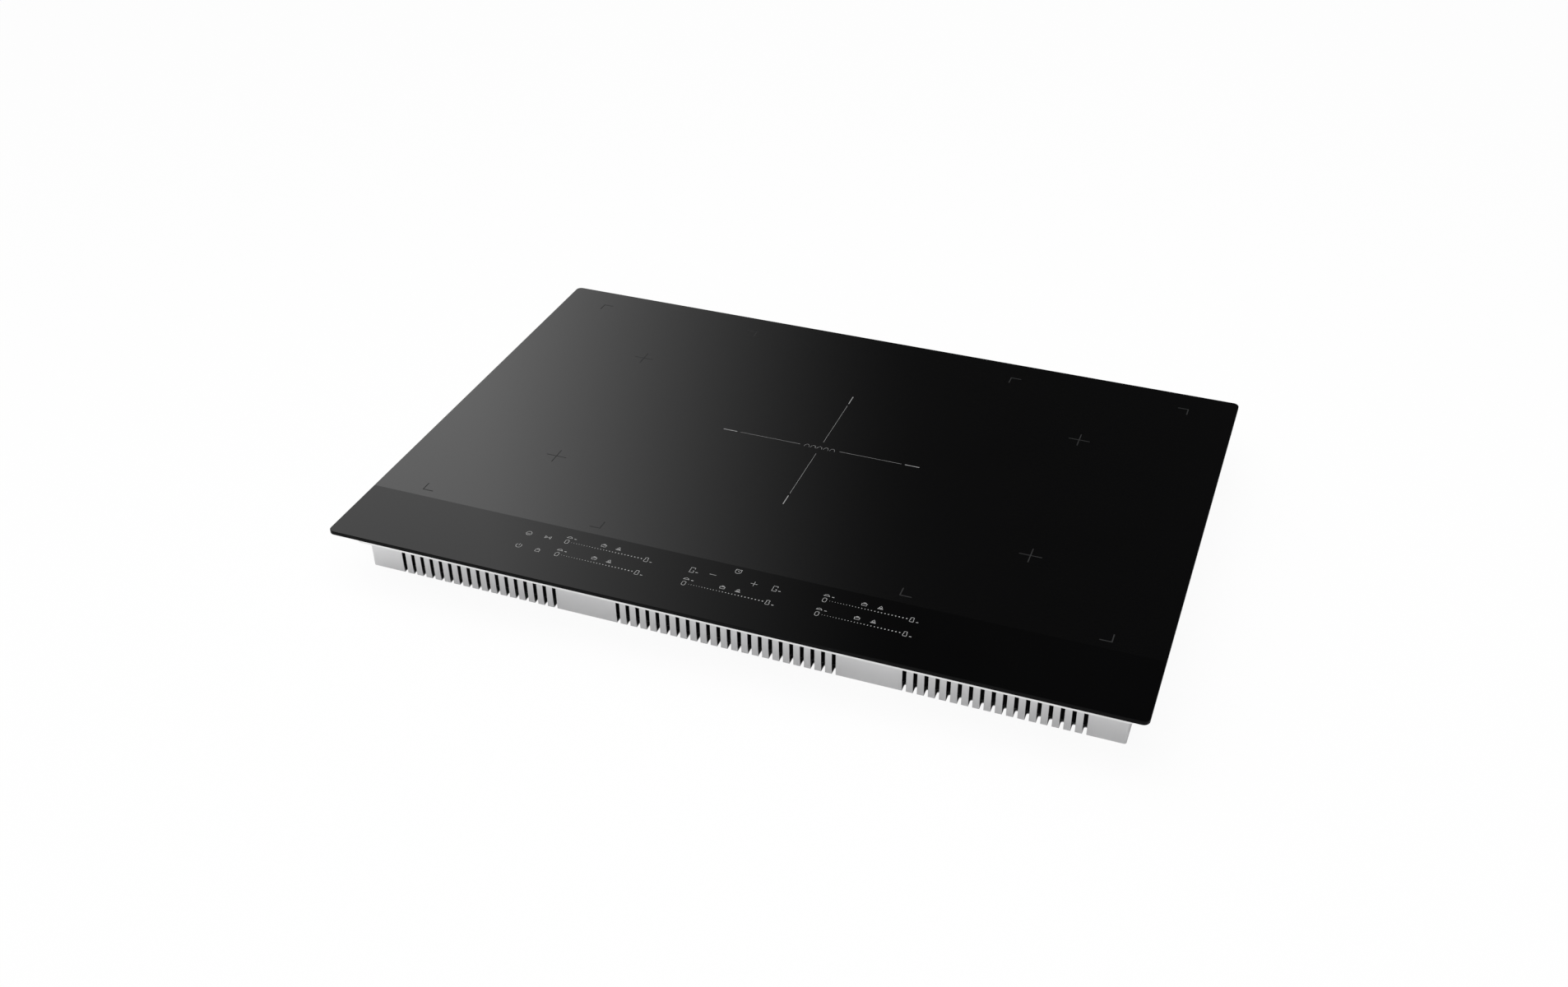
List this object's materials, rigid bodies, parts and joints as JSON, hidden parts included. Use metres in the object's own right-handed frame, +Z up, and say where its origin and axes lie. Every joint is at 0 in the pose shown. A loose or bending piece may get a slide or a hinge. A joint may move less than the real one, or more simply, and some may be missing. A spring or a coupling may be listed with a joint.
{
  "type": "induction cooktop",
  "caption": "Built-in electric induction cooktop: a black glass plate with a front touch band over a coil tray and a slotted base pan with sprung coils, blowers and a terminal cover.",
  "frame": {"origin": "under the middle of the glass, on the plane that the base pan stands on", "axes": "+X to the right, +Y to the back away from the touch controls, +Z up out of the glass"},
  "size_m": [0.77, 0.52, 0.06],
  "materials": {
    "black_glass": "gloss",
    "seal_foam": "matte",
    "black_silicone": "satin",
    "mica_mat": "matte",
    "tray_sheet": "satin",
    "pan_sheet": "satin",
    "screw_steel": "satin",
    "black_plastic": "matte",
    "motor_steel": "satin",
    "circuit_board": "satin",
    "heatsink_aluminium": "satin",
    "grey_capacitor": "satin",
    "choke_core": "satin",
    "yellow_capacitor": "gloss",
    "white_nylon": "matte",
    "black_rubber": "matte",
    "terminal_brass": "satin",
    "grey_cable": "satin",
    "copper_litz": "satin",
    "carrier_plastic": "matte",
    "ferrite": "satin",
    "sensor_ceramic": "satin"
  },
  "bodies": {
    "case": {"base_pan": "pan_sheet", "blower_housing_left": "black_plastic", "blower_housing_right": "black_plastic", "blower_motors": "motor_steel", "board_screws": "screw_steel", "board_standoffs": "white_nylon", "cable_gland": "black_rubber", "case_screws": "screw_steel", "centre_springs": "screw_steel", "coil_tray": "tray_sheet", "cover_hinge_pin": "screw_steel", "filter_board": "circuit_board", "filter_capacitors": "yellow_capacitor", "filter_choke": "choke_core", "front_left_springs": "screw_steel", "front_right_springs": "screw_steel", "glass_adhesive": "black_silicone", "glass_top": "black_glass", "heatsink_left": "heatsink_aluminium", "heatsink_right": "heatsink_aluminium", "insulating_liner": "black_plastic", "insulation_mat": "mica_mat", "power_board_left": "circuit_board", "power_board_right": "circuit_board", "power_transistors": "black_plastic", "rear_left_springs": "screw_steel", "rear_right_springs": "screw_steel", "resonant_capacitors": "grey_capacitor", "terminal_block": "white_nylon", "terminal_box": "black_plastic", "terminal_screws": "terminal_brass", "touch_board": "circuit_board", "touch_holder": "black_plastic", "touch_pads": "black_silicone", "ui_cable": "grey_cable", "worktop_seal": "seal_foam"},
    "impeller_left": {"impeller_left": "black_plastic"},
    "impeller_right": {"impeller_right": "black_plastic"},
    "terminal_cover": {"terminal_cover": "black_plastic"},
    "rear_left_coil": {"rear_left_winding": "copper_litz", "rear_left_carrier": "carrier_plastic", "rear_left_ferrites": "ferrite", "rear_left_sensor": "sensor_ceramic"},
    "front_left_coil": {"front_left_winding": "copper_litz", "front_left_carrier": "carrier_plastic", "front_left_ferrites": "ferrite", "front_left_sensor": "sensor_ceramic"},
    "centre_coil": {"centre_winding": "copper_litz", "centre_carrier": "carrier_plastic", "centre_ferrites": "ferrite", "centre_sensor": "sensor_ceramic"},
    "rear_right_coil": {"rear_right_winding": "copper_litz", "rear_right_carrier": "carrier_plastic", "rear_right_ferrites": "ferrite", "rear_right_sensor": "sensor_ceramic"},
    "front_right_coil": {"front_right_winding": "copper_litz", "front_right_carrier": "carrier_plastic", "front_right_ferrites": "ferrite", "front_right_sensor": "sensor_ceramic"}
  },
  "joints": [
    {"name": "impeller_left_spin", "type": "hinge", "parent": "case", "child": "impeller_left", "pos_m": [-0.215, 0.12, 0.02], "axis": [0, 0, 1], "continuous": true},
    {"name": "impeller_right_spin", "type": "hinge", "parent": "case", "child": "impeller_right", "pos_m": [0.215, 0.12, 0.02], "axis": [0, 0, 1], "continuous": true},
    {"name": "terminal_cover_hinge", "type": "hinge", "parent": "case", "child": "terminal_cover", "pos_m": [0.0925, 0.2293, 0.0295], "axis": [1, 0, 0], "range_deg": [0, 110]},
    {"name": "rear_left_coil_press", "type": "slide", "parent": "case", "child": "rear_left_coil", "axis": [0, 0, 1], "range_m": [-0.003, 0], "stiffness_N_per_m": 4000, "springref_m": 0.004, "deforming": ["rear_left_springs"]},
    {"name": "front_left_coil_press", "type": "slide", "parent": "case", "child": "front_left_coil", "axis": [0, 0, 1], "range_m": [-0.003, 0], "stiffness_N_per_m": 4000, "springref_m": 0.004, "deforming": ["front_left_springs"]},
    {"name": "centre_coil_press", "type": "slide", "parent": "case", "child": "centre_coil", "axis": [0, 0, 1], "range_m": [-0.003, 0], "stiffness_N_per_m": 4000, "springref_m": 0.004, "deforming": ["centre_springs"]},
    {"name": "rear_right_coil_press", "type": "slide", "parent": "case", "child": "rear_right_coil", "axis": [0, 0, 1], "range_m": [-0.003, 0], "stiffness_N_per_m": 4000, "springref_m": 0.004, "deforming": ["rear_right_springs"]},
    {"name": "front_right_coil_press", "type": "slide", "parent": "case", "child": "front_right_coil", "axis": [0, 0, 1], "range_m": [-0.003, 0], "stiffness_N_per_m": 4000, "springref_m": 0.004, "deforming": ["front_right_springs"]}
  ]
}
